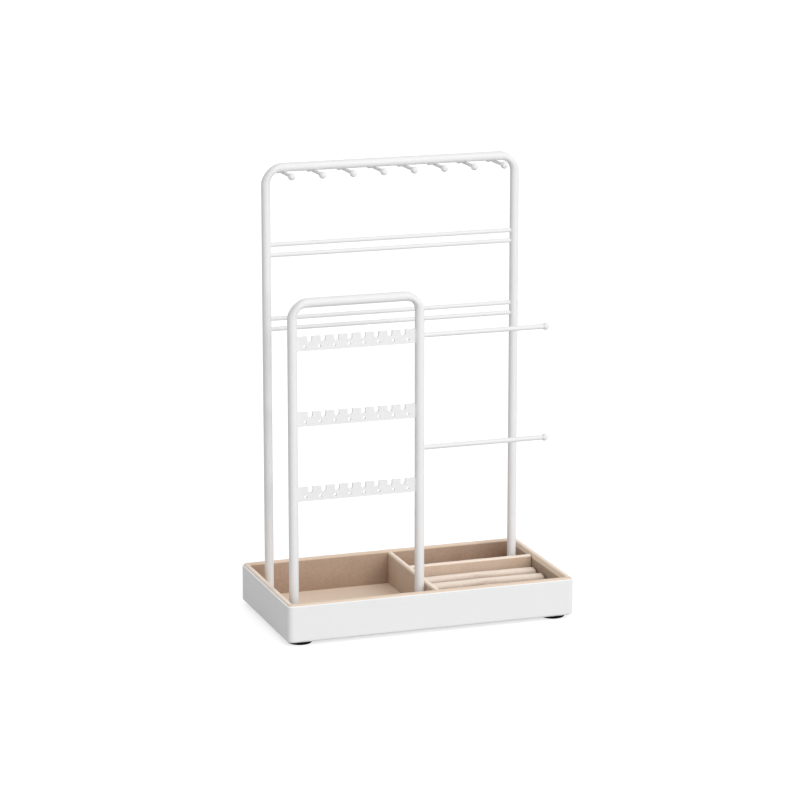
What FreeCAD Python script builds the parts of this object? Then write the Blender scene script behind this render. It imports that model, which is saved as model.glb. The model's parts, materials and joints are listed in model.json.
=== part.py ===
import FreeCAD, Part
import math
import os

# Jewellery stand: a shallow lined tray on four feet, a tall back frame with necklace hooks
# and crossbars, a lower front frame with notched earring plates, and two bracelet bars.
# All lengths are millimetres. +X runs to the right, +Y to the back and +Z up.
# The origin lies on the surface the stand rests on, under the middle of the tray.
# Heights are measured from the underside of the tray shell unless a comment says otherwise.

# Tray shell, pressed from sheet and coated
tray_width = 250.0
tray_depth = 135.0
tray_height = 31.0
tray_wall = 1.5
tray_floor = 1.5
tray_corner_radius = 5.0
tray_bottom_radius = 2.0
lip_round_share = 0.4

# Feet under the tray
foot_diameter = 20.0
foot_height = 3.4
foot_edge_radius = 0.8
foot_inset = 14.0

# Velvet covered boards that line the tray
liner_thickness = 4.0
liner_rise = 1.3
floor_board_thickness = 1.5
board_round_share = 0.42

# Divider between the two halves of the tray, and the panel behind the ring rolls
divider_thickness = 4.0
divider_offset = 7.2
divider_drop = 1.5
panel_thickness = 4.0
panel_drop = 2.0
panel_end_gap = 0.8
panel_post_gap = 14.25

# Ring rolls: padded bars with an arched top and rounded ends
roll_count = 4
roll_height = 19.5
roll_crown_share = 0.453
roll_gap = 0.4
roll_end_radius = 3.0
roll_end_steps = 3

# Back frame: one tube bent to an upside-down U
back_tube = 7.5
back_tube_wall = 1.0
back_bend = 14.0
back_top = 373.6
back_post_inset = 24.5
side_post_inset = 10.5

# Crossbars of the back frame, in two close pairs
crossbar_diameter = 3.6
crossbar_pitch = 8.7
crossbar_drop = 68.2
crossbar_pair_pitch = 62.0

# Necklace hooks: short rods with a ball on each end, welded under the top tube
hook_count = 8
hook_diameter = 3.0
hook_ball = 6.0
hook_reach = 19.0
hook_margin = 16.5
hook_seat = 0.15

# Front frame: a lower bent tube over the left half of the tray
front_tube = 8.0
front_tube_wall = 1.0
front_bend = 13.0
front_top = 274.0
front_post_inset = 29.5
front_post_gap = 1.2

# Bends of both frames: the tube flattens as it is bent, to this share of its diameter
bend_flat_share = 0.8
bend_steps = 6

# Earring plates between the posts of the front frame
plate_count = 3
plate_height = 12.0
plate_thickness = 2.0
plate_drop = 33.5
plate_pitch = 62.7
notch_count = 8
notch_width = 4.0
notch_depth = 4.9
notch_margin = 10.6
notch_corner_radius = 0.5
earring_hole_count = 8
earring_hole = 2.6
earring_hole_margin = 6.4
earring_hole_height = 3.6

# Bracelet bars on the right post of the front frame, the upper one level with the top plate
bar_diameter = 4.0
bar_ball = 6.0
bar_length = 110.5
bar_pitch = 94.5

# Screws from below into threaded plugs in the tube ends
plug_length = 16.0
plug_wall = 0.65
screw_length = 13.0
screw_head_diameter = 8.0
screw_head_height = 1.8
screw_head_round_share = 0.5
screw_hole_clearance = 0.25
thread_clearance = 0.1
post_hole_clearance = 0.3

# How far cutting tools run past the faces they cut
overrun = 1.0

# Levels, faces and post places worked out from the sizes above
underside = foot_height
floor_level = underside + tray_floor
bed_level = floor_level + floor_board_thickness
lip_level = underside + tray_height
liner_top = lip_level + liner_rise
inner_x = tray_width / 2 - tray_wall
inner_y = tray_depth / 2 - tray_wall
bay_x = inner_x - liner_thickness
bay_y = inner_y - liner_thickness
divider_left = divider_offset - divider_thickness / 2
divider_right = divider_offset + divider_thickness / 2
back_x = bay_x - side_post_inset
back_y = bay_y - back_post_inset
panel_front = back_y - back_tube / 2 - panel_post_gap - panel_thickness
ring_bay_depth = panel_front + bay_y
front_y = front_post_inset - bay_y
front_left_x = -back_x
front_right_x = divider_left - front_post_gap - front_tube / 2
back_posts = [(-back_x, back_y), (back_x, back_y)]
front_posts = [(front_left_x, front_y), (front_right_x, front_y)]
crossbar_level = underside + back_top - crossbar_drop
plate_level = underside + front_top - plate_drop
screw_diameter = back_tube - 2 * (back_tube_wall + plug_wall + thread_clearance)

y_axis = FreeCAD.Vector(0, 1, 0)
z_axis = FreeCAD.Vector(0, 0, 1)


def point(x, y, z):
    return FreeCAD.Vector(x, y, z)


def line(start, end):
    return Part.LineSegment(start, end).toShape()


def arc(start, middle, end):
    return Part.Arc(start, middle, end).toShape()


def corner_middle(centre, start, end):
    # Middle of the arc about centre from start to end.
    chord = (start + end) * 0.5 - centre
    return centre + chord * ((start - centre).Length / chord.Length)


def block(x_low, x_high, y_low, y_high, z_low, z_high):
    return Part.makeBox(x_high - x_low, y_high - y_low, z_high - z_low, point(x_low, y_low, z_low))


def rod(diameter, start, end):
    along = end - start
    return Part.makeCylinder(diameter / 2, along.Length, start, along)


def upright(diameter, place, z_low, z_high):
    x, y = place
    return rod(diameter, point(x, y, z_low), point(x, y, z_high))


def rounded_prism(half_x, half_y, radius, z_low, z_high):
    # Upright prism with rounded corners, centred on the origin.
    prism = block(-half_x, half_x, -half_y, half_y, z_low, z_high)
    corners = []
    for edge in prism.Edges:
        box = edge.BoundBox
        if box.ZLength > box.XLength + box.YLength:
            corners.append(edge)
    return prism.makeFillet(radius, corners)


def level_edges(shape, level):
    # Edges that lie wholly at one height.
    near = tray_wall * lip_round_share / 2
    found = []
    for edge in shape.Edges:
        box = edge.BoundBox
        if abs(box.ZMin - level) < near and abs(box.ZMax - level) < near:
            found.append(edge)
    return found


def base_tray():
    outer = rounded_prism(tray_width / 2, tray_depth / 2, tray_corner_radius, underside, lip_level)
    outer = outer.makeFillet(tray_bottom_radius, level_edges(outer, underside))
    shell = outer.cut(tray_cavity(floor_level, lip_level + overrun))
    shell = shell.makeFillet(tray_wall * lip_round_share, level_edges(shell, lip_level))
    for place in back_posts + front_posts:
        shell = shell.cut(upright(screw_diameter + 2 * screw_hole_clearance, place,
                                  underside - overrun, floor_level + overrun))
    return shell


def tray_cavity(z_low, z_high):
    return rounded_prism(inner_x, inner_y, tray_corner_radius - tray_wall, z_low, z_high)


def board(start, end, thickness, z_low, z_high):
    # Covered board standing on edge from start to end, its top edges rounded.
    radius = thickness * board_round_share
    half = thickness / 2
    begin = point(start[0], start[1], 0)
    along = point(end[0], end[1], 0) - begin
    side = z_axis.cross(along).normalize()

    def at(across, height):
        return begin + side * across + z_axis * height

    corners = [at(-half, z_low), at(half, z_low), at(half, z_high - radius),
               at(half - radius, z_high), at(radius - half, z_high), at(-half, z_high - radius)]
    right_middle = corner_middle(at(half - radius, z_high - radius), corners[2], corners[3])
    left_middle = corner_middle(at(radius - half, z_high - radius), corners[4], corners[5])
    edges = [line(corners[0], corners[1]), line(corners[1], corners[2]),
             arc(corners[2], right_middle, corners[3]), line(corners[3], corners[4]),
             arc(corners[4], left_middle, corners[5]), line(corners[5], corners[0])]
    return Part.Face(Part.Wire(edges)).extrude(along)


def liner_boards():
    # Front and back boards run the full width, the side boards fit between them.
    middle_x = bay_x + liner_thickness / 2
    middle_y = bay_y + liner_thickness / 2
    runs = {
        "liner_front": ((-inner_x, -middle_y), (inner_x, -middle_y)),
        "liner_back": ((-inner_x, middle_y), (inner_x, middle_y)),
        "liner_left": ((-middle_x, -bay_y), (-middle_x, bay_y)),
        "liner_right": ((middle_x, -bay_y), (middle_x, bay_y)),
    }
    cavity = tray_cavity(floor_level, liner_top + overrun)
    boards = {}
    for name, (start, end) in runs.items():
        boards[name] = board(start, end, liner_thickness, floor_level, liner_top).common(cavity)
    return boards


def floor_board(x_low, x_high, posts):
    # Covered board on the tray floor, with a hole for each post that passes through it.
    shape = block(x_low, x_high, -bay_y, bay_y, floor_level, bed_level)
    for place, tube in posts:
        hole = tube + 2 * post_hole_clearance
        shape = shape.cut(upright(hole, place, floor_level - overrun, bed_level + overrun))
    return shape


def floor_boards():
    left_posts = [(back_posts[0], back_tube)] + [(place, front_tube) for place in front_posts]
    return {
        "floor_board_left": floor_board(-bay_x, divider_left, left_posts),
        "floor_board_right": floor_board(divider_right, bay_x, [(back_posts[1], back_tube)]),
    }


def divider():
    return board((divider_offset, -bay_y), (divider_offset, bay_y), divider_thickness,
                 floor_level, liner_top - divider_drop)


def ring_panel():
    middle_y = panel_front + panel_thickness / 2
    return board((divider_right, middle_y), (bay_x - panel_end_gap, middle_y), panel_thickness,
                 bed_level, liner_top - panel_drop)


def roll_section(x, y, half_width, inset):
    # Upright outline of a ring roll: flat underneath, straight sides and an arched top.
    half = half_width - inset
    top = bed_level + roll_height - inset
    spring = top - 2 * half * roll_crown_share
    foot_left = point(x, y - half, bed_level)
    foot_right = point(x, y + half, bed_level)
    spring_left = point(x, y - half, spring)
    spring_right = point(x, y + half, spring)
    crest = point(x, y, top)
    return Part.Wire([line(foot_left, foot_right), line(foot_right, spring_right),
                      arc(spring_right, crest, spring_left), line(spring_left, foot_left)])


def ring_roll(y, half_width):
    # The outline runs the length of the bay and draws in along a quarter circle at each end.
    x_low = divider_right + roll_gap
    x_high = bay_x - roll_gap
    draws = []
    for step in range(roll_end_steps + 1):
        angle = math.pi / 2 * step / roll_end_steps
        draws.append((roll_end_radius * (1 - math.cos(angle)), roll_end_radius * (1 - math.sin(angle))))
    left_end = [roll_section(x_low + along, y, half_width, inset) for along, inset in draws]
    right_end = [roll_section(x_high - along, y, half_width, inset) for along, inset in reversed(draws)]
    return Part.makeLoft(left_end + right_end, True, True)


def ring_rolls():
    pitch = ring_bay_depth / roll_count
    half_width = (pitch - roll_gap) / 2
    rolls = {}
    for index in range(roll_count):
        y = panel_front - pitch * (index + 0.5)
        rolls["ring_roll_%d" % (index + 1)] = ring_roll(y, half_width)
    return rolls


def bend_ring(middle, spoke, flat, diameter, inset):
    # Outline of a tube in a bend: flattened along the spoke and wider across it.
    wide = diameter / 2 * math.sqrt(2 - flat * flat) - inset
    narrow = diameter / 2 * flat - inset
    ring = Part.Wire(Part.Ellipse(point(0, 0, 0), wide, narrow).toShape())
    turn = FreeCAD.Rotation(y_axis, spoke, y_axis.cross(spoke), "XYZ")
    ring.Placement = FreeCAD.Placement(middle, turn)
    return ring


def bend_corner(pivot, side, bend, diameter, inset):
    # Quarter turn from an upright post to the level top tube.
    rings = []
    for step in range(bend_steps + 1):
        angle = math.pi / 2 * step / bend_steps
        spoke = point(side * math.cos(angle), 0, math.sin(angle))
        flat = 1 - (1 - bend_flat_share) * math.sin(2 * angle) ** 2
        rings.append(bend_ring(pivot + spoke * bend, spoke, flat, diameter, inset))
    return Part.makeLoft(rings, True, False)


def bent_rod(posts, top, bend, diameter, inset):
    # Upside-down U between two posts, drawn in all round by the inset.
    (x_left, y), (x_right, _) = posts
    spring = top - bend
    core = diameter - 2 * inset
    left_pivot = point(x_left + bend, y, spring)
    right_pivot = point(x_right - bend, y, spring)
    rise = z_axis * bend
    shape = upright(core, posts[0], floor_level, spring)
    return shape.fuse([bend_corner(left_pivot, -1, bend, diameter, inset),
                       rod(core, left_pivot + rise, right_pivot + rise),
                       bend_corner(right_pivot, 1, bend, diameter, inset),
                       upright(core, posts[1], floor_level, spring)])


def bent_tube(posts, top, bend, diameter, wall):
    outside = bent_rod(posts, underside + top, bend, diameter, 0)
    return outside.cut(bent_rod(posts, underside + top, bend, diameter, wall))


def post_cylinders(posts, diameter, z_low, z_high):
    return [upright(diameter, place, z_low, z_high) for place in posts]


def crossbars():
    # Each bar runs between the back posts, its ends hollowed to sit on the tubes.
    half_pitch = crossbar_pitch / 2
    lower = crossbar_level - crossbar_pair_pitch
    levels = [crossbar_level + half_pitch, crossbar_level - half_pitch,
              lower + half_pitch, lower - half_pitch]
    bars = {}
    for index, z in enumerate(levels):
        bar = rod(crossbar_diameter, point(-back_x, back_y, z), point(back_x, back_y, z))
        posts = post_cylinders(back_posts, back_tube, z - crossbar_diameter, z + crossbar_diameter)
        bars["crossbar_%d" % (index + 1)] = bar.cut(posts)
    return bars


def necklace_hooks():
    # Each rod crosses under the top tube and is hollowed where it sits on it.
    top = underside + back_top
    z = top - back_tube / 2 - hook_diameter / 2 + hook_seat
    first = hook_margin - back_x
    pitch = -2 * first / (hook_count - 1)
    tube = rod(back_tube, point(-back_x, back_y, top), point(back_x, back_y, top))
    hooks = {}
    for index in range(hook_count):
        x = first + pitch * index
        front = point(x, back_y - hook_reach, z)
        back = point(x, back_y + hook_reach, z)
        balls = [Part.makeSphere(hook_ball / 2, end) for end in (front, back)]
        hook = rod(hook_diameter, front, back).fuse(balls)
        hooks["necklace_hook_%d" % (index + 1)] = hook.removeSplitter().cut(tube)
    return hooks


def notch_edges(x, top):
    # One U-shaped notch in the top edge, drawn from right to left, with eased mouth corners.
    half = notch_width / 2
    ease = notch_corner_radius
    low = top - notch_depth + half

    def at(across, height):
        return point(x + across, 0, height)

    right_start = at(half + ease, top)
    right_end = at(half, top - ease)
    left_start = at(-half, top - ease)
    left_end = at(-half - ease, top)
    right_ease = corner_middle(at(half + ease, top - ease), right_start, right_end)
    left_ease = corner_middle(at(-half - ease, top - ease), left_start, left_end)
    edges = [arc(right_start, right_ease, right_end), line(right_end, at(half, low)),
             arc(at(half, low), at(0, low - half), at(-half, low)),
             line(at(-half, low), left_start), arc(left_start, left_ease, left_end)]
    return right_start, edges, left_end


def spread(count, low, high):
    return [low + (high - low) * index / (count - 1) for index in range(count)]


def plate_blank():
    # Notched and drilled plate from post to post, its lower edge at height 0.
    left = front_left_x
    right = front_right_x
    face_left = left + front_tube / 2
    face_right = right - front_tube / 2
    pen = point(right, 0, plate_height)
    edges = [line(point(left, 0, 0), point(right, 0, 0)), line(point(right, 0, 0), pen)]
    for x in reversed(spread(notch_count, face_left + notch_margin, face_right - notch_margin)):
        entry, notch, leave = notch_edges(x, plate_height)
        edges += [line(pen, entry)] + notch
        pen = leave
    edges.append(line(pen, point(left, 0, plate_height)))
    edges.append(line(point(left, 0, plate_height), point(left, 0, 0)))
    plate = Part.Face(Part.Wire(edges)).extrude(y_axis * plate_thickness)
    holes = spread(earring_hole_count, face_left + earring_hole_margin, face_right - earring_hole_margin)
    drills = [rod(earring_hole, point(x, -overrun, earring_hole_height),
                  point(x, plate_thickness + overrun, earring_hole_height)) for x in holes]
    return plate.cut(drills)


def earring_plates():
    blank = plate_blank()
    posts = post_cylinders(front_posts, front_tube, floor_level, underside + front_top - front_bend)
    plates = {}
    for index in range(plate_count):
        low = plate_level - plate_pitch * index - plate_height / 2
        plate = blank.copy()
        plate.translate(point(0, front_y - plate_thickness / 2, low))
        plates["earring_plate_%d" % (index + 1)] = plate.cut(posts)
    return plates


def bracelet_bar(z):
    start = point(front_right_x, front_y, z)
    end = point(front_right_x + bar_length, front_y, z)
    bar = rod(bar_diameter, start, end).fuse(Part.makeSphere(bar_ball / 2, end)).removeSplitter()
    return bar.cut(post_cylinders(front_posts[1:], front_tube, z - bar_diameter, z + bar_diameter))


def foot(x, y):
    pad = upright(foot_diameter, (x, y), 0, underside)
    return pad.makeFillet(foot_edge_radius, level_edges(pad, 0))


def feet():
    x = tray_width / 2 - foot_inset
    y = tray_depth / 2 - foot_inset
    return {
        "foot_front_left": foot(-x, -y),
        "foot_front_right": foot(x, -y),
        "foot_back_left": foot(-x, y),
        "foot_back_right": foot(x, y),
    }


def tube_plug(place, tube, wall):
    plug = upright(tube - 2 * wall, place, floor_level, floor_level + plug_length)
    thread = upright(screw_diameter + 2 * thread_clearance, place,
                     floor_level - overrun, floor_level + plug_length + overrun)
    return plug.cut(thread)


def frame_screw(place):
    # Low domed head under the tray, shank up through the floor into the plug.
    low = underside - screw_head_height
    head = upright(screw_head_diameter, place, low, underside)
    head = head.makeFillet(screw_head_height * screw_head_round_share, level_edges(head, low))
    shank = upright(screw_diameter, place, underside, underside + screw_length)
    return head.fuse(shank).removeSplitter()


def frame_fixings():
    plugs = [tube_plug(place, back_tube, back_tube_wall) for place in back_posts]
    plugs += [tube_plug(place, front_tube, front_tube_wall) for place in front_posts]
    screws = [frame_screw(place) for place in back_posts + front_posts]
    return {"tube_plugs": Part.makeCompound(plugs), "frame_screws": Part.makeCompound(screws)}


def all_pieces():
    pieces = {"base_tray": base_tray(), "divider": divider(), "ring_panel": ring_panel()}
    pieces.update(liner_boards())
    pieces.update(floor_boards())
    pieces.update(ring_rolls())
    pieces["back_frame"] = bent_tube(back_posts, back_top, back_bend, back_tube, back_tube_wall)
    pieces.update(crossbars())
    pieces.update(necklace_hooks())
    pieces["front_frame"] = bent_tube(front_posts, front_top, front_bend, front_tube, front_tube_wall)
    pieces.update(earring_plates())
    pieces["bracelet_bar_upper"] = bracelet_bar(plate_level)
    pieces["bracelet_bar_lower"] = bracelet_bar(plate_level - bar_pitch)
    pieces.update(feet())
    pieces.update(frame_fixings())
    return pieces


os.makedirs("parts", exist_ok=True)
for name, shape in all_pieces().items():
    solids = shape.Solids
    print("%-20s solids %d  volume %.1f  valid %s" % (name, len(solids), shape.Volume, shape.isValid()))
    shape.exportStep(os.path.join("parts", name + ".step"))
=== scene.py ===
import json
import math
import bmesh
import bpy
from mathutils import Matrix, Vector


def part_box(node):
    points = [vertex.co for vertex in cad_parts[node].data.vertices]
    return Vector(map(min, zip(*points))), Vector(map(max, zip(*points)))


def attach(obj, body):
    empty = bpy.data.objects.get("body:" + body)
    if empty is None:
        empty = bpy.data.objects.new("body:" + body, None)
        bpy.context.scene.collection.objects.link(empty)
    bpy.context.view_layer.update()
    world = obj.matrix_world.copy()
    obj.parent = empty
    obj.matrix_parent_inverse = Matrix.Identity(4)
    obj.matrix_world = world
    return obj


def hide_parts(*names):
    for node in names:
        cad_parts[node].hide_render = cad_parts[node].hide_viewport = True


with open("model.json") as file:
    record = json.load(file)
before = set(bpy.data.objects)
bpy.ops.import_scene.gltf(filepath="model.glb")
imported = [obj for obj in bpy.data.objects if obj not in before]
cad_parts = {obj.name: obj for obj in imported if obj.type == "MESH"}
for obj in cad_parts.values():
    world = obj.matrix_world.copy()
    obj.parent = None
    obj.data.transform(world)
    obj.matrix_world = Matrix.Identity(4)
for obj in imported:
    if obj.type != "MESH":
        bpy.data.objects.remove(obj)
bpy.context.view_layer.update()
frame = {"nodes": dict(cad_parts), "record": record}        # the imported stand, one object per piece, in metres
nodes = frame["nodes"]
mm = 0.001
print("frame loaded,", len(nodes), "pieces")


# Shader wires
class Wire:
    # one output socket of a node tree; a sum of wires adds its own Math nodes
    def __init__(self, tree, socket=None):
        self.tree = tree
        self.socket = socket

    # any other node: its type, its settings, then the values or wires of its inputs
    def node(self, kind, settings, inputs, out=0):
        made = self.tree.nodes.new(kind)
        for name, value in settings.items():
            setattr(made, name, value)
        for name, value in inputs.items():
            if isinstance(value, Wire):
                self.tree.links.new(value.socket, made.inputs[name])
            else:
                made.inputs[name].default_value = value
        if not made.outputs:
            return None
        return Wire(self.tree, made.outputs[out])

    def maths(self, operation, first, second):
        return self.node("ShaderNodeMath", {"operation": operation}, {0: first, 1: second})

    def __add__(self, other):
        return self.maths("ADD", self, other)

    def __rsub__(self, other):
        return self.maths("SUBTRACT", other, self)

    def __mul__(self, other):
        return self.maths("MULTIPLY", self, other)

    __radd__ = __add__
    __rmul__ = __mul__


def startFinish(name):
    material = bpy.data.materials.new(name)
    material.use_nodes = True
    material.node_tree.nodes.clear()
    place = Wire(material.node_tree).node("ShaderNodeTexCoord", {}, {}, "Object")
    return material, place


def endFinish(place, sockets):
    shader = place.node("ShaderNodeBsdfPrincipled", {}, sockets, "BSDF")
    place.node("ShaderNodeOutputMaterial", {}, {"Surface": shader})


fineDetail = 3.0             # octaves of noise, where a plain grain has two


def grain(place, size, detail=2.0):     # cloudy noise whose spots are about this size
    return place.node("ShaderNodeTexNoise", {}, {"Vector": place, "Scale": 1 / size, "Detail": detail})


def ramp(wire, low, high, most):        # nothing up to low, then evenly to the most at high
    ends = {"Value": wire, "From Min": low, "From Max": high, "To Max": most}
    return wire.node("ShaderNodeMapRange", {"clamp": True}, ends)


def climb(vector, low, high, most, axis="Z"):    # the same along one axis of a place or a normal
    return ramp(vector.node("ShaderNodeSeparateXYZ", {}, {"Vector": vector}, axis), low, high, most)


def tint(share, plain, other):          # one colour going over to the other
    settings = {"data_type": "RGBA", "clamp_factor": True}
    return share.node("ShaderNodeMix", settings, {0: share, 6: plain, 7: other}, 2)


# White powder coat: satin, with a faint orange peel; on the tray its lip is painted paler, a painted highlight
# along the edge
whiteCoat = {
    "slot": "white_coat",
    "name": "powderCoatWhite",
    "white": (0.845, 0.845, 0.845, 1),
    "shade": (0.815, 0.815, 0.82, 1),
    "cloud": 45 * mm,
    "peel": 1.4 * mm,
    "peelHeight": 0.05 * mm,
    "peelStrength": 0.1,
    "smooth": 0.4,
    "rough": 0.54,
    "gloss": 0.25,
}
trayCoat = dict(
    whiteCoat,
    name="powderCoatTray",
    # painted highlight: the tray's lip is painted paler along its top edge
    lip=(0.96, 0.96, 0.96, 1),
    lipFrom=33.6 * mm,
    lipTo=34.0 * mm,
)


def makeWhiteCoat(spec):
    material, place = startFinish(spec["name"])
    cloud = grain(place, spec["cloud"], fineDetail)
    peel = grain(place, spec["peel"])
    colour = tint(cloud, spec["white"], spec["shade"])
    # painted highlight: the top of the tray's lip is painted paler
    if "lip" in spec:
        colour = tint(climb(place, spec["lipFrom"], spec["lipTo"], 1.0), colour, spec["lip"])
    bump = {"Strength": spec["peelStrength"], "Distance": spec["peelHeight"], "Height": peel}
    endFinish(place, {
        "Base Color": colour,
        "Roughness": spec["smooth"] + (spec["rough"] - spec["smooth"]) * peel,
        "Specular IOR Level": spec["gloss"],
        "Normal": place.node("ShaderNodeBump", {}, bump),
    })
    return material


# Velvet: short pile with random nap patches; painted light and shade on top of that: paler where a face turns
# up, a painted highlight along a board's top edge, and painted shade lower down
floorVelvet = {
    "slot": "velvet",
    "name": "velvetFloor",
    "pale": (0.88, 0.71, 0.565, 1),
    "deep": (0.25, 0.145, 0.09, 1),
    "open": 0.9,             # painted top light: how much paler a face is painted when it is turned up
    "openFrom": 0.1,         # upward part of the normal where the painted top light begins
    "openTo": 0.8,
    "edge": 1.0,             # painted highlight: how much paler the band along a board's top edge is painted
    "edgeFade": 3.2 * mm,    # how far below the top the band ends
    "edgeFull": 1.7 * mm,
    "rise": 0.14,            # painted shade: how much paler higher up, so darker near the floor where the walls and rolls shade it
    "foot": 6.4 * mm,
    "top": 34 * mm,
    "brushed": 24 * mm,
    "brushedShare": 0.16,
    "mottle": 2.4 * mm,
    "mottleShare": 0.2,
    "pile": 0.5 * mm,
    "pileShare": 0.14,
    "pileHeight": 0.16 * mm,
    "pileStrength": 0.4,
    "rough": 0.94,
    "sheen": 0.5,
    "sheenRough": 0.5,
    "sheenTint": (1.0, 0.92, 0.84, 1),
    "gloss": 0.2,
}
# the rolls' velvet: through the painted top light the crests get a painted highlight, and the flanks and valleys
# painted shade
rollVelvet = dict(
    floorVelvet,
    slot="roll_velvet",
    name="velvetRoll",
    pale=(0.97, 0.845, 0.73, 1),
    deep=(0.215, 0.10, 0.042, 1),
    open=0.75,
    openFrom=0.6,
    openTo=1.0,
    top=26 * mm,
)


def makeVelvet(spec, boardTop=None):
    material, place = startFinish(spec["name"])
    pile = grain(place, spec["pile"], fineDetail)
    facing = place.node("ShaderNodeNewGeometry", {}, {}, "Normal")
    # painted top light: faces that turn up are painted paler
    paintedTopLight = climb(facing, spec["openFrom"], spec["openTo"], spec["open"])
    # painted shade: darker lower down, paler towards the top
    paintedLowShade = climb(place, spec["foot"], spec["top"], spec["rise"])
    brushed = spec["brushedShare"] * grain(place, spec["brushed"])
    mottled = spec["mottleShare"] * grain(place, spec["mottle"])
    share = paintedTopLight + paintedLowShade + (brushed + mottled) + spec["pileShare"] * pile
    # painted shade: darker towards a board's right end
    if "pressed" in spec:
        share += climb(place, spec["pressedFrom"], spec["pressedTo"], spec["pressed"], "X")
    # painted highlight: a paler band along the board's top edge
    if boardTop is not None:
        share += climb(place, boardTop - spec["edgeFade"], boardTop - spec["edgeFull"], spec["edge"])
    bump = {"Strength": spec["pileStrength"], "Distance": spec["pileHeight"], "Height": pile}
    endFinish(place, {
        "Base Color": tint(share, spec["deep"], spec["pale"]),
        "Roughness": spec["rough"] - spec["pileShare"] * pile,
        "Sheen Weight": spec["sheen"],
        "Sheen Roughness": spec["sheenRough"],
        "Sheen Tint": spec["sheenTint"],
        "Specular IOR Level": spec["gloss"],
        "Normal": place.node("ShaderNodeBump", {}, bump),
    })
    return material


# Rubber feet and zinc plated screws
footRubber = {
    "slot": "rubber",
    "black": (0.003, 0.003, 0.003, 1),
    "worn": (0.008, 0.008, 0.008, 1),
    "grain": 0.8 * mm,
    "grainHeight": 0.06 * mm,
    "grainStrength": 0.3,
    "smooth": 0.65,
    "rough": 0.9,
    "gloss": 0.06,
}
zincSteel = {
    "slot": "bare_steel",
    "bright": (0.62, 0.63, 0.64, 1),
    "dull": (0.46, 0.465, 0.48, 1),
    "spangle": 1.6 * mm,
    "smooth": 0.28,
    "rough": 0.48,
}


def makeRubber(spec):
    material, place = startFinish("footRubber")
    skin = grain(place, spec["grain"])
    bump = {"Strength": spec["grainStrength"], "Distance": spec["grainHeight"], "Height": skin}
    endFinish(place, {
        "Base Color": tint(skin, spec["black"], spec["worn"]),
        "Roughness": spec["smooth"] + (spec["rough"] - spec["smooth"]) * skin,
        "Specular IOR Level": spec["gloss"],
        "Normal": place.node("ShaderNodeBump", {}, bump),
    })
    return material


def makeZinc(spec):
    material, place = startFinish("zincSteel")
    spangle = grain(place, spec["spangle"], fineDetail)
    endFinish(place, {
        "Base Color": tint(spangle, spec["dull"], spec["bright"]),
        "Metallic": 1.0,
        "Roughness": spec["smooth"] + (spec["rough"] - spec["smooth"]) * spangle,
    })
    return material


finishes = {
    whiteCoat["slot"]: makeWhiteCoat(whiteCoat),
    floorVelvet["slot"]: makeVelvet(floorVelvet),
    rollVelvet["slot"]: makeVelvet(rollVelvet),
    footRubber["slot"]: makeRubber(footRubber),
    zincSteel["slot"]: makeZinc(zincSteel),
}
for row in frame["record"]["subparts"]:
    worn = nodes[row["node"]].data.materials
    worn.clear()
    worn.append(finishes[row["material_slot"]])
nodes["base_tray"].data.materials[0] = makeWhiteCoat(trayCoat)
print("finishes made,", len(bpy.data.materials))

# Modelling helpers
touch = 0.05 * mm            # two places closer than this are the same
upward = 0.9                 # a face looks up when its normal rises more than this


def near(a, b):
    return abs(a - b) < touch


def startBlock(name, low, high):
    bpy.ops.object.select_all(action="DESELECT")
    bpy.ops.mesh.primitive_cube_add(size=1, location=(low + high) / 2, scale=high - low)
    bpy.ops.object.transform_apply(location=True, rotation=True, scale=True)
    piece = bpy.context.object
    piece.name = name
    return piece


def chooseEdges(piece, test):           # in edit mode, by the places of an edge's two ends
    bpy.ops.mesh.select_mode(type="EDGE")
    bpy.ops.mesh.select_all(action="DESELECT")
    mesh = bmesh.from_edit_mesh(piece.data)
    for edge in mesh.edges:
        edge.select_set(test(edge.verts[0].co, edge.verts[1].co))
    bmesh.update_edit_mesh(piece.data)


def chooseFaces(piece, test):           # in edit mode, by a face's middle and normal
    bpy.ops.mesh.select_mode(type="FACE")
    bpy.ops.mesh.select_all(action="DESELECT")
    mesh = bmesh.from_edit_mesh(piece.data)
    for face in mesh.faces:
        face.select_set(test(face.calc_center_median(), face.normal))
    bmesh.update_edit_mesh(piece.data)


def choosePoints(piece, test):          # in edit mode, by a point's place
    bpy.ops.mesh.select_mode(type="VERT")
    bpy.ops.mesh.select_all(action="DESELECT")
    mesh = bmesh.from_edit_mesh(piece.data)
    for point in mesh.verts:
        point.select_set(test(point.co))
    bmesh.update_edit_mesh(piece.data)


def joinAll(pieces, name):
    bpy.ops.object.select_all(action="DESELECT")
    for piece in pieces:
        piece.select_set(True)
    bpy.context.view_layer.objects.active = pieces[0]
    bpy.ops.object.join()
    pieces[0].name = name
    return pieces[0]


# a copy moved on, and mirrored before that where an axis is given
def copyPiece(first, name, move=(0, 0, 0), flipAxis=None, about=0.0):
    piece = first.copy()
    piece.data = first.data.copy()
    piece.name = name
    bpy.context.scene.collection.objects.link(piece)
    for vertex in piece.data.vertices:
        if flipAxis is not None:
            vertex.co[flipAxis] = 2 * about - vertex.co[flipAxis]
        vertex.co += Vector(move)
    if flipAxis is not None:
        piece.data.flip_normals()
    return piece


def dress(piece, material):
    piece.data.materials.clear()
    piece.data.materials.append(material)
    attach(piece, "root")


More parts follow.
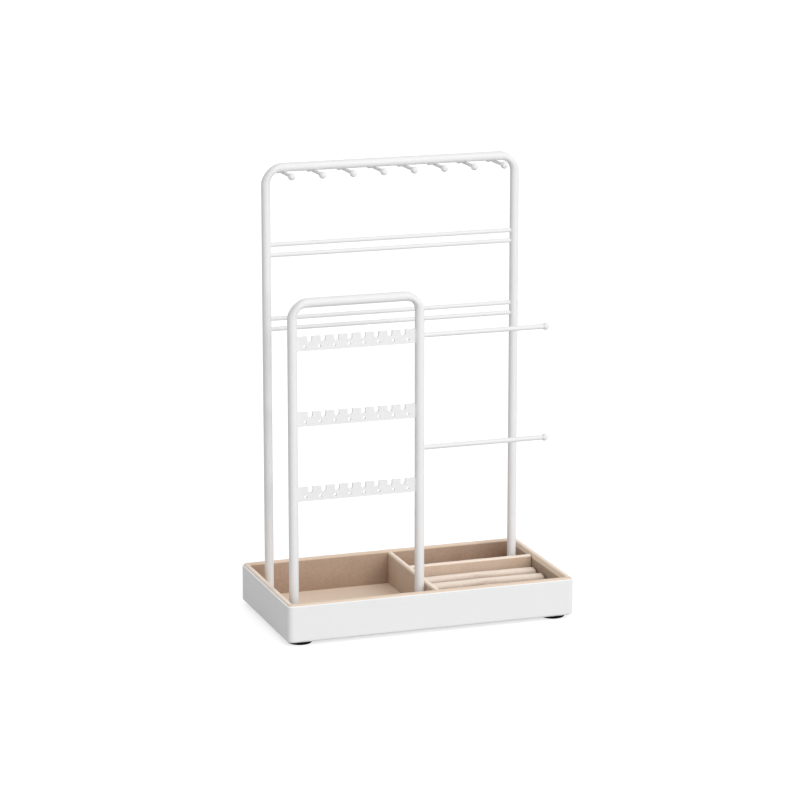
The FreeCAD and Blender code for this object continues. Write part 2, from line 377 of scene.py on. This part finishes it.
# Ring rolls: foam bars in velvet, swollen by cloth pressure and gathered at the ends
ringRoll = {
    "nodes": ("ring_roll_1", "ring_roll_2", "ring_roll_3", "ring_roll_4"),
    "shy": 0.6 * mm,         # how far a roll starts inside its solid, as it swells again
    "archShare": 0.45,       # rounding of the long top edges, as a share of the width
    "archSteps": 7,
    "endRound": 2.2 * mm,
    "endSteps": 3,
    "voxel": 1.5 * mm,
    "glued": 1.0 * mm,       # height over the floor board that doesn't swell
    "pressure": 4.0,
    "frames": 20,
    "cap": 0.7 * mm,
    "settle": 6,             # smoothing passes that take the crinkles out of the swollen velvet
    "tuckDepth": 0.3 * mm,   # gathers where the velvet is folded over the ends
    "tuckReach": 4.0 * mm,
    "tucks": 11,
    "wave": 0.05 * mm,       # uneven filling along the roll
    "waveLength": 31 * mm,
    "roundLevels": 1,
    "fill": 0.85,
}


def swell(piece, spec, floor):
    held = piece.vertex_groups.new(name="glued")
    held.add([v.index for v in piece.data.vertices if v.co.z < floor + spec["glued"]], 1.0, "ADD")
    before = [v.co.copy() for v in piece.data.vertices]
    bpy.ops.object.modifier_add(type="CLOTH")
    cloth = piece.modifiers[-1]
    cloth.settings.use_pressure = True
    cloth.settings.uniform_pressure_force = spec["pressure"]
    cloth.settings.effector_weights.gravity = 0
    cloth.settings.vertex_group_mass = held.name
    for step in range(1, spec["frames"] + 1):
        bpy.context.scene.frame_set(step)
    bpy.ops.object.modifier_apply(modifier=cloth.name)
    bpy.context.scene.frame_set(1)
    for vertex, start in zip(piece.data.vertices, before):
        move = vertex.co - start
        if move.length > spec["cap"]:
            vertex.co = start + move.normalized() * spec["cap"]


def gatherEnds(piece, spec, low, high):
    middle = (low + high) / 2
    pull = [v.normal.copy() for v in piece.data.vertices]
    for vertex, outward in zip(piece.data.vertices, pull):
        place = vertex.co - middle
        toEnd = min(vertex.co.x - low.x, high.x - vertex.co.x)
        around = math.atan2(place.z, place.y)
        tuck = spec["tuckDepth"] * math.exp(-max(toEnd, 0) / spec["tuckReach"])
        fold = (1 + math.cos(spec["tucks"] * around + place.x / spec["tuckReach"])) / 2
        wave = spec["wave"] * math.sin(2 * math.pi * place.x / spec["waveLength"] + around)
        vertex.co += outward * (wave - tuck * fold)


def modelRoll(spec):
    low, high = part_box(spec["nodes"][0])
    shy = Vector((spec["shy"], spec["shy"], spec["shy"]))
    low, high = low + shy, high - shy
    low.z -= spec["shy"]                 # the underside stays glued to the floor board
    roll = startBlock(spec["nodes"][0] + "_velvet", low, high)
    bpy.ops.object.mode_set(mode="EDIT")
    chooseEdges(roll, lambda a, b: near(a.z, high.z) and near(b.z, high.z) and near(a.y, b.y))
    bpy.ops.mesh.bevel(offset=spec["archShare"] * (high.y - low.y), segments=spec["archSteps"])
    chooseEdges(roll, lambda a, b: near(a.x, b.x) and (near(a.x, low.x) or near(a.x, high.x)))
    bpy.ops.mesh.bevel(offset=spec["endRound"], segments=spec["endSteps"])
    bpy.ops.object.mode_set(mode="OBJECT")
    roll.data.remesh_voxel_size = spec["voxel"]
    bpy.ops.object.voxel_remesh()
    swell(roll, spec, low.z)
    settle = roll.modifiers.new("settle", "SMOOTH")
    settle.iterations = spec["settle"]
    bpy.ops.object.modifier_apply(modifier=settle.name)
    gatherEnds(roll, spec, low, high)
    smooth = roll.modifiers.new("round", "SUBSURF")
    smooth.levels = smooth.render_levels = spec["roundLevels"]
    bpy.ops.object.modifier_apply(modifier=smooth.name)
    low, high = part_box(spec["nodes"][0])
    for vertex in roll.data.vertices:    # flat where a roll lies on the board and against its neighbours
        vertex.co.y = min(max(vertex.co.y, low.y), high.y)
        vertex.co.z = max(vertex.co.z, low.z)
    bpy.ops.object.shade_smooth()
    return roll


firstRoll = modelRoll(ringRoll)
rollLow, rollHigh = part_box(ringRoll["nodes"][0])
rollMiddle = (rollLow.x + rollHigh.x) / 2
rolls = [firstRoll]
for number, node in enumerate(ringRoll["nodes"][1:], 1):
    flipAxis = 0 if number % 2 else None     # every second one lies the other way round
    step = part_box(node)[0] - rollLow
    rolls.append(copyPiece(firstRoll, node + "_velvet", step, flipAxis, rollMiddle))
for roll, node in zip(rolls, ringRoll["nodes"]):
    dress(roll, finishes[rollVelvet["slot"]])
    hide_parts(node)
print("ring rolls filled,", len(rolls))

# Velvet boards: the cloth is drawn over the top edges, and lies a little unevenly
velvetBoard = {
    "cloth": {               # what differs from the floor's velvet: lit and shaded copies of one velvet, each board's pale, deep and sheen set for the light and shade that falls on it
        "liner_front": {"pale": (0.78, 0.63, 0.50, 1)},
        "liner_back": {
            "pale": (0.80, 0.65, 0.52, 1),
            "edgeFade": 2.5 * mm,
            "edgeFull": 1.1 * mm,
            "pressed": -0.24,            # painted shade: how much darker the pile is painted towards the right end, where the right walls shade it
            "pressedFrom": 35 * mm,      # right of the middle, where that begins
            "pressedTo": 112 * mm,
        },
        "liner_left": {"pale": (0.93, 0.81, 0.69, 1), "deep": (0.391, 0.2375, 0.129, 1)},
        "liner_right": {
            "pale": (0.97, 0.84, 0.71, 1),
            "deep": (0.15, 0.066, 0.025, 1),
            "sheen": 0.32,
            "sheenTint": (1.0, 0.74, 0.50, 1),
            "edgeFade": 5.8 * mm,
            "edgeFull": 3.5 * mm,
        },
        "divider": {
            "pale": (0.98, 0.87, 0.75, 1),
            "deep": (0.24, 0.118, 0.046, 1),
            "sheen": 1.0,
            "sheenTint": (1.0, 0.85, 0.70, 1),
            "edgeFade": 2.6 * mm,
            "edgeFull": 1.2 * mm,
        },
        "ring_panel": {
            "pale": (0.92, 0.80, 0.69, 1),
            "deep": (0.432, 0.302, 0.208, 1),
            "edgeFade": 2.0 * mm,
            "edgeFull": 0.8 * mm,
            # painted shade towards the right end, where the right wall shades the panel
            "pressed": -0.16,
            "pressedFrom": 40 * mm,
            "pressedTo": 119 * mm,
        },
    },
    "cornered": ("liner_front", "liner_back"),   # these two fill the round corners of the tray
    "edge": 1.3 * mm,
    "edgeSteps": 5,
    "corner": 3.4 * mm,
    "cornerSteps": 5,
    "stretch": 4 * mm,       # about the length of a face along the board
    "ripple": 0.1 * mm,
    "rippleLength": 19 * mm,
    "rippleBeat": 0.37,      # a second, slower wave makes the first one uneven
    "crease": 40,            # degrees; sharper edges stay sharp
}


def cutCorners(spec, low, high, side):   # cuts across the two outer corners, for their rounding
    for step in range(spec["cornerSteps"]):
        inward = spec["corner"] * (1 - step / spec["cornerSteps"])
        outer = low.y + inward if side < 0 else high.y - inward
        planes = (
            ((low.x + inward, 0, 0), (1, 0, 0)),
            ((high.x - inward, 0, 0), (1, 0, 0)),
            ((0, outer, 0), (0, 1, 0)),
        )
        for place, normal in planes:
            bpy.ops.mesh.select_all(action="SELECT")
            bpy.ops.mesh.bisect(plane_co=place, plane_no=normal)


def roundCorners(board, spec, low, high, side):      # a corner's square becomes a quarter of a disc
    middle = (low + high) / 2
    half = (high - low) / 2
    for vertex in board.data.vertices:
        left = -1 if vertex.co.x < middle.x else 1
        centre = middle + Vector((left * (half.x - spec["corner"]), side * (half.y - spec["corner"]), 0))
        across = (vertex.co.x - centre.x) * left
        beyond = (vertex.co.y - centre.y) * side
        if across > 0 and beyond > 0:
            share = max(across, beyond) / math.hypot(across, beyond)
            vertex.co.x = centre.x + left * across * share
            vertex.co.y = centre.y + side * beyond * share


def modelBoard(spec, node):
    low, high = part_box(node)
    size = high - low
    along = 0 if size.x > size.y else 1
    middle = (low + high) / 2
    side = -1 if middle.y < 0 else 1     # the outer face looks to the front or to the back
    board = startBlock(node + "_velvet", low, high)
    bpy.ops.object.mode_set(mode="EDIT")
    cornered = node in spec["cornered"]
    chooseEdges(board, lambda a, b: near(a.z, high.z) and near(b.z, high.z)
                and (cornered or not near(a[along], b[along])))
    bpy.ops.mesh.bevel(offset=spec["edge"], segments=spec["edgeSteps"])
    if cornered:
        cutCorners(spec, low, high, side)
    cuts = int(size[along] / spec["stretch"])
    chooseEdges(board, lambda a, b: abs(a[along] - b[along]) > size[along] / 2)
    bpy.ops.mesh.subdivide(number_cuts=cuts)
    bpy.ops.object.mode_set(mode="OBJECT")
    if cornered:
        roundCorners(board, spec, low, high, side)
    outward = [v.normal.copy() for v in board.data.vertices]
    for vertex, normal in zip(board.data.vertices, outward):
        turn = 2 * math.pi * vertex.co[along] / spec["rippleLength"]
        lift = max(vertex.co.z - middle.z, 0) / (high.z - middle.z)
        wave = math.sin(turn) * math.cos(spec["rippleBeat"] * turn)
        vertex.co += normal * spec["ripple"] * lift * (wave - 1)
    bpy.ops.object.shade_smooth_by_angle(angle=math.radians(spec["crease"]))
    return board


for node, cloth in velvetBoard["cloth"].items():
    board = modelBoard(velvetBoard, node)
    velvet = dict(floorVelvet, name=node + "Velvet", **cloth)
    dress(board, makeVelvet(velvet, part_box(node)[1].z))
    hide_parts(node)
print("boards covered,", len(velvetBoard["cloth"]))

# Weld fillets under the coat: rings round the bars, strips along the plates, pads over the hooks
weldFillet = {
    "leg": 0.8 * mm,         # how far a fillet reaches along the metal
    "sunk": 0.25 * mm,       # how far it starts inside the metal
    "scoop": 0.9,            # share of its section's side that the hollow takes
    "hollow": 0.12,          # bevel profile; under a half is hollow
    "hollowSteps": 4,
    "turns": 28,
    "merge": 0.005 * mm,
    "crossbars": 4,
    "plates": 3,
    "hooks": 8,
    "backTube": 7.5 * mm,
    "frontTube": 8.0 * mm,
    "padSize": (3.8 * mm, 4.4 * mm, 2.0 * mm),
    "padLevels": 3,
    "stripMargin": 0.5 * mm,
    "barRadius": 2.0 * mm,   # of the bracelet bars
    "crease": 50,            # degrees
}


def weldRing(spec, post, barRadius, tubeRadius):         # round a bar that leaves a post to the right
    reach = spec["leg"] + spec["sunk"]
    inner = post + Vector((tubeRadius - spec["sunk"], 0, barRadius - spec["sunk"]))
    outer = inner + Vector((reach, 0, reach))
    bpy.ops.object.select_all(action="DESELECT")
    bpy.ops.mesh.primitive_plane_add(size=reach, location=(inner + outer) / 2, rotation=(math.pi / 2, 0, 0))
    bpy.ops.object.transform_apply(location=True, rotation=True, scale=True)
    ring = bpy.context.object
    bpy.ops.object.mode_set(mode="EDIT")
    choosePoints(ring, lambda p: near(p.x, outer.x) and near(p.z, outer.z))
    bpy.ops.mesh.bevel(
        offset=spec["scoop"] * reach,
        segments=spec["hollowSteps"],
        profile=spec["hollow"],
        affect="VERTICES",
    )
    bpy.ops.mesh.select_all(action="SELECT")
    bpy.ops.mesh.delete(type="ONLY_FACE")
    bpy.ops.mesh.select_all(action="SELECT")
    bpy.ops.mesh.spin(steps=spec["turns"], angle=2 * math.pi, center=post, axis=(1, 0, 0))
    bpy.ops.mesh.select_all(action="SELECT")
    bpy.ops.mesh.remove_doubles(threshold=spec["merge"])
    bpy.ops.mesh.normals_make_consistent(inside=False)
    bpy.ops.object.mode_set(mode="OBJECT")
    for vertex in ring.data.vertices:                    # follow the round of the tube
        across = vertex.co.y - post.y
        vertex.co.x -= tubeRadius - math.sqrt(tubeRadius ** 2 - across ** 2)
    return ring


def weldStrip(spec, plateLow, plateHigh, postX):         # in front of a plate, right of its left post
    tubeRadius = spec["frontTube"] / 2
    middleY = (plateLow.y + plateHigh.y) / 2
    half = (plateHigh.y - plateLow.y) / 2
    rootX = postX + math.sqrt(tubeRadius ** 2 - (half + spec["leg"]) ** 2) - spec["sunk"]
    tipX = postX + math.sqrt(tubeRadius ** 2 - half ** 2) + spec["leg"]
    low = Vector((rootX, middleY - half - spec["leg"], plateLow.z + spec["stripMargin"]))
    high = Vector((tipX, middleY - half + spec["sunk"], plateHigh.z - spec["stripMargin"]))
    strip = startBlock("plateStrip", low, high)
    bpy.ops.object.mode_set(mode="EDIT")
    chooseEdges(strip, lambda a, b: all(near(p.x, high.x) and near(p.y, low.y) for p in (a, b)))
    bpy.ops.mesh.bevel(
        offset=spec["scoop"] * (high.y - low.y),
        segments=spec["hollowSteps"],
        profile=spec["hollow"],
    )
    bpy.ops.object.mode_set(mode="OBJECT")
    return strip


def weldPad(spec, place):
    half = Vector(spec["padSize"]) / 2
    pad = startBlock("weldPad", place - half, place + half)
    smooth = pad.modifiers.new("round", "SUBSURF")
    smooth.levels = smooth.render_levels = spec["padLevels"]
    bpy.ops.object.modifier_apply(modifier=smooth.name)
    return pad


def middleOf(node):
    low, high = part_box(node)
    return (low + high) / 2


def weldBars(spec):
    low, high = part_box("crossbar_1")
    first = middleOf("crossbar_1")
    radius = spec["backTube"] / 2
    post = Vector((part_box("back_frame")[0].x + radius, first.y, first.z))
    rings = [weldRing(spec, post, (high.z - low.z) / 2, radius)]
    for number in range(2, spec["crossbars"] + 1):
        drop = middleOf(f"crossbar_{number}").z - first.z
        rings.append(copyPiece(rings[0], f"barWeld{number}", (0, 0, drop)))
    rings += [copyPiece(ring, ring.name + "Right", flipAxis=0) for ring in list(rings)]

    upper = middleOf("bracelet_bar_upper")
    drop = middleOf("bracelet_bar_lower").z - upper.z
    radius = spec["frontTube"] / 2
    post = Vector((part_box("front_frame")[1].x - radius, upper.y, upper.z))
    bracelet = weldRing(spec, post, spec["barRadius"], radius)
    lower = copyPiece(bracelet, "barWeldLower", (0, 0, drop))
    return joinAll(rings + [bracelet, lower], "bar_welds")


def weldPlates(spec):
    frontLow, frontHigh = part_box("front_frame")
    middleX = (frontLow.x + frontHigh.x) / 2
    first = middleOf("earring_plate_1")
    strips = [weldStrip(spec, *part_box("earring_plate_1"), frontLow.x + spec["frontTube"] / 2)]
    strips.append(copyPiece(strips[0], "stripBehind", flipAxis=1, about=first.y))
    strips += [copyPiece(s, s.name + "Right", flipAxis=0, about=middleX) for s in list(strips)]
    upper = list(strips)
    for number in range(2, spec["plates"] + 1):
        drop = middleOf(f"earring_plate_{number}").z - first.z
        strips += [copyPiece(s, f"{s.name}{number}", (0, 0, drop)) for s in upper]
    return joinAll(strips, "plate_welds")


def weldHooks(spec):
    place = middleOf("necklace_hook_1")
    first = place.copy()
    first.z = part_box("back_frame")[1].z - spec["backTube"]
    pads = [weldPad(spec, first)]
    for number in range(2, spec["hooks"] + 1):
        pads.append(copyPiece(pads[0], f"hookWeld{number}", middleOf(f"necklace_hook_{number}") - place))
    return joinAll(pads, "hook_welds")


for weld in (weldBars(weldFillet), weldPlates(weldFillet), weldHooks(weldFillet)):
    bpy.ops.object.select_all(action="DESELECT")
    weld.select_set(True)
    bpy.context.view_layer.objects.active = weld
    bpy.ops.object.shade_smooth_by_angle(angle=math.radians(weldFillet["crease"]))
    dress(weld, finishes[whiteCoat["slot"]])
print("welds laid")

# Screws under the tray: low domed heads with a cross recess, and the shank that goes into the plug
frameScrew = {
    "node": "frame_screws",
    "head": 8.0 * mm,
    "headHeight": 1.8 * mm,
    "dome": 0.9 * mm,
    "domeSteps": 4,
    "shank": 4.0 * mm,
    "around": 40,
    "crossLength": 4.2 * mm,
    "crossWidth": 1.0 * mm,
    "crossDepth": 1.1 * mm,
    "crossTaper": 0.62,      # width of the recess at its bottom, as a share of its width at the face
    "crease": 50,            # degrees
}


def cutArm(screw, spec, place, along):
    half = [spec["crossWidth"] / 2, spec["crossWidth"] / 2, spec["crossDepth"]]
    half[along] = spec["crossLength"] / 2
    arm = startBlock("crossArm", place - Vector(half), place + Vector(half))
    for vertex in arm.data.vertices:
        if vertex.co.z > place.z:
            vertex.co.xy = place.xy + (vertex.co.xy - place.xy) * spec["crossTaper"]
    bpy.ops.object.select_all(action="DESELECT")
    bpy.context.view_layer.objects.active = screw
    cut = screw.modifiers.new("recess", "BOOLEAN")
    cut.operation = "DIFFERENCE"
    cut.solver = "EXACT"
    cut.object = arm
    bpy.ops.object.modifier_apply(modifier=cut.name)
    bpy.data.objects.remove(arm)


def modelScrew(spec):
    low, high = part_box(spec["node"])
    head = spec["head"] / 2
    place = Vector((low.x + head, high.y - head, low.z))     # the back left one
    bpy.ops.object.select_all(action="DESELECT")
    bpy.ops.mesh.primitive_cylinder_add(
        vertices=spec["around"],
        radius=head,
        depth=spec["headHeight"],
        location=place + Vector((0, 0, spec["headHeight"] / 2)),
    )
    bpy.ops.object.transform_apply(location=True, rotation=True, scale=True)
    screw = bpy.context.object
    seat = low.z + spec["headHeight"]
    bpy.ops.object.mode_set(mode="EDIT")
    chooseEdges(screw, lambda a, b: near(a.z, low.z) and near(b.z, low.z))
    bpy.ops.mesh.bevel(offset=spec["dome"], segments=spec["domeSteps"])
    chooseFaces(screw, lambda middle, normal: near(middle.z, seat) and normal.z > upward)
    bpy.ops.mesh.inset(thickness=head - spec["shank"] / 2)
    bpy.ops.mesh.extrude_region_move(TRANSFORM_OT_translate={"value": (0, 0, high.z - seat)})
    bpy.ops.object.mode_set(mode="OBJECT")
    for along in (0, 1):
        cutArm(screw, spec, place, along)
    return screw, place


def screwFrames(spec):
    first, place = modelScrew(spec)
    backY = place.y
    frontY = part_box(spec["node"])[0].y + spec["head"] / 2
    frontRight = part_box("front_frame")[1].x - weldFillet["frontTube"] / 2
    screws = [first]
    others = ((-place.x, backY), (place.x, frontY), (frontRight, frontY))
    for number, (x, y) in enumerate(others, 2):
        screws.append(copyPiece(first, f"screw{number}", (x - place.x, y - backY, 0)))
    return joinAll(screws, "frame_screws_crossed")


screws = screwFrames(frameScrew)
bpy.ops.object.shade_smooth_by_angle(angle=math.radians(frameScrew["crease"]))
dress(screws, finishes[zincSteel["slot"]])
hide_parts(frameScrew["node"])
print("screws driven")

# Studio: white floor and sky, a soft key from the front, a little to the right, and a low fill from behind
studio = {
    "floorSize": 20.0,
    "floorGrey": (0.58, 0.58, 0.58, 1),  # what the floor gives back to the stand
    "floorGlow": 0.66,                   # added where the camera sees the floor, so that it is white
    "skyLevel": 0.545,                   # what the sky gives to the stand
    "aim": (0, 0, 0.17),
    "lamps": {               # place, size in metres, power in watts
        "keyLight": ((1.61, -4.94, 2.82), 5.0, 233.0),
        "backFill": ((0.5, 4.8, 1.15), 3.0, 50.0),
    },
}


def seenDirectly(tree):
    path = Wire(tree).node("ShaderNodeLightPath", {}, {}, "Is Camera Ray")
    rays = path.socket.node.outputs
    glossy = Wire(tree, rays["Is Glossy Ray"])
    through = Wire(tree, rays["Is Transmission Ray"])
    return path.maths("MAXIMUM", path.maths("MAXIMUM", path, glossy), through)


def makeStudio(spec):
    world = bpy.data.worlds.new("studioSky")
    bpy.context.scene.world = world
    world.use_nodes = True
    world.node_tree.nodes.clear()
    seen = seenDirectly(world.node_tree)
    level = spec["skyLevel"] + (1 - spec["skyLevel"]) * seen
    sky = seen.node("ShaderNodeBackground", {}, {"Color": (1, 1, 1, 1), "Strength": level})
    seen.node("ShaderNodeOutputWorld", {}, {"Surface": sky})

    bpy.ops.object.select_all(action="DESELECT")
    bpy.ops.mesh.primitive_plane_add(size=spec["floorSize"])
    floor = bpy.context.object
    floor.name = "studioFloor"
    material = bpy.data.materials.new("studioFloor")
    material.use_nodes = True
    material.node_tree.nodes.clear()
    seen = seenDirectly(material.node_tree)
    matte = seen.node("ShaderNodeBsdfDiffuse", {}, {"Color": spec["floorGrey"]})
    glow = seen.node("ShaderNodeEmission", {}, {"Strength": spec["floorGlow"] * seen})
    both = seen.node("ShaderNodeAddShader", {}, {0: matte, 1: glow})
    seen.node("ShaderNodeOutputMaterial", {}, {"Surface": both})
    floor.data.materials.append(material)

    for name, (place, size, power) in spec["lamps"].items():
        bpy.ops.object.light_add(type="AREA", location=place)
        lamp = bpy.context.object
        lamp.name = name
        lamp.data.shape = "SQUARE"
        lamp.data.size = size
        lamp.data.energy = power
        towards = Vector(spec["aim"]) - Vector(place)
        lamp.rotation_euler = towards.to_track_quat("-Z", "Y").to_euler()


makeStudio(studio)
print("studio lit")

# Camera at the photograph's viewing angle
photoCamera = {
    "place": (-0.8534, -2.4428, 0.7896),
    "yaw": 19.138,       # degrees to the right of straight back
    "pitch": 13.205,     # degrees down
    "lens": 144.0,
    "sensor": 36.0,
    "farthest": 100.0,
}


def placeCamera(spec):
    turn = (90 - spec["pitch"], 0, -spec["yaw"])
    bpy.ops.object.camera_add(location=spec["place"], rotation=[math.radians(a) for a in turn])
    camera = bpy.context.object
    camera.name = "photoCamera"
    camera.data.lens = spec["lens"]
    camera.data.sensor_width = spec["sensor"]
    camera.data.clip_end = spec["farthest"]
    bpy.context.scene.camera = camera


placeCamera(photoCamera)
bpy.context.scene.view_settings.view_transform = "Standard"
print("camera placed")
